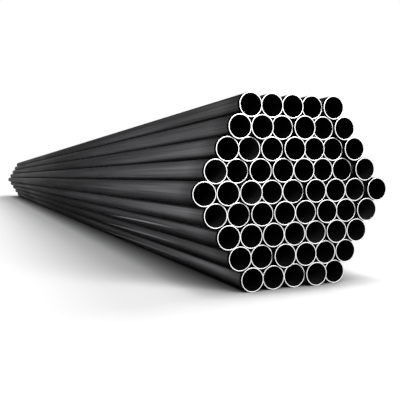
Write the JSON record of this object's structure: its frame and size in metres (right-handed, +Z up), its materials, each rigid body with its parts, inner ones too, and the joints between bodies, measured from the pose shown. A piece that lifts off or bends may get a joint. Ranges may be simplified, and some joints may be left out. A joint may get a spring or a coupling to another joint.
{
  "type": "stack of steel tubes",
  "caption": "Round steel tubes in stock length, nested in a hexagonal stack that lies on one of its flat sides, with open, square-cut ends.",
  "frame": {"origin": "on the ground, under the middle of the stack", "axes": "+X across the rows, to the right as seen from the near ends, +Y along the tubes from their near ends to their far ends, +Z up"},
  "size_m": [0.437, 6.0226, 0.3848],
  "materials": {
    "mill_steel": "dark satin mill finish, drawn lengthwise, with bright sawn ends"
  },
  "bodies": {
    "root": {"tube_row_1": "mill_steel", "tube_row_2": "mill_steel", "tube_row_3": "mill_steel", "tube_row_4": "mill_steel", "tube_row_5": "mill_steel", "tube_row_6": "mill_steel", "tube_row_7": "mill_steel", "tube_row_8": "mill_steel", "tube_row_9": "mill_steel"}
  },
  "joints": []
}
